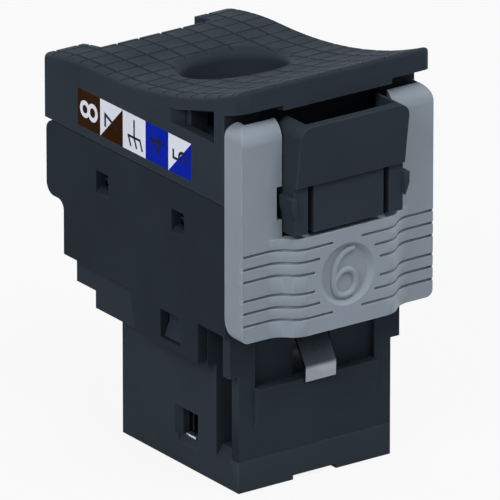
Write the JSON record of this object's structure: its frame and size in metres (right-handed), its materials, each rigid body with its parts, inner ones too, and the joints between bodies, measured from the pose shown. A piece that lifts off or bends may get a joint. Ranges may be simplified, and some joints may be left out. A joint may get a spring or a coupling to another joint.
{
  "type": "keystone jack",
  "caption": "Snap-in shielded data jack standing on its plug face: socket nose with a hinged latch, grey front plate, terminal housing and a lift-off wire cap with a cable hole.",
  "frame": {"origin": "middle of the nose on the plug face, on the axis along which the nose enters a panel", "axes": "+Z from the plug face towards the cable, -Y the latch and front plate side, +X to the right seen from the latch side"},
  "size_m": [0.0182, 0.0292, 0.0346],
  "materials": {
    "black_shell": "fine matt moulded texture",
    "grey_plate": "satin moulded",
    "bright_strip": "bright rolled sheet",
    "comb_plastic": "matt moulded",
    "block_plastic": "matt moulded",
    "board": "lacquered laminate",
    "plug_contact": "gold plated",
    "terminal": "tin plated",
    "label": "printed film"
  },
  "bodies": {
    "jack": {"front_housing": "black_shell", "rear_housing": "black_shell", "front_plate": "grey_plate", "ground_spring": "bright_strip", "plug_shield": "bright_strip", "contact_carrier": "comb_plastic", "circuit_board": "board", "terminal_block": "block_plastic", "contact_1": "plug_contact", "contact_2": "plug_contact", "contact_3": "plug_contact", "contact_4": "plug_contact", "contact_5": "plug_contact", "contact_6": "plug_contact", "contact_7": "plug_contact", "contact_8": "plug_contact", "idc_terminal_1": "terminal", "idc_terminal_2": "terminal", "idc_terminal_3": "terminal", "idc_terminal_4": "terminal", "idc_terminal_5": "terminal", "idc_terminal_6": "terminal", "idc_terminal_7": "terminal", "idc_terminal_8": "terminal", "drain_terminal_left": "terminal", "drain_terminal_right": "terminal"},
    "lever": {"latch_lever": "black_shell"},
    "cap": {"wire_cap": "black_shell", "label_left": "label", "label_right": "label"}
  },
  "joints": [
    {"name": "latch_hinge", "type": "hinge", "parent": "jack", "child": "lever", "pos_m": [0, -0.00673, 0.0028], "axis": [-1, 0, 0], "range_deg": [0, 5.3], "stiffness_Nm_per_rad": 0.6},
    {"name": "cap_lift", "type": "slide", "parent": "jack", "child": "cap", "axis": [0, 0, 1], "range_m": [0, 0.012]}
  ]
}
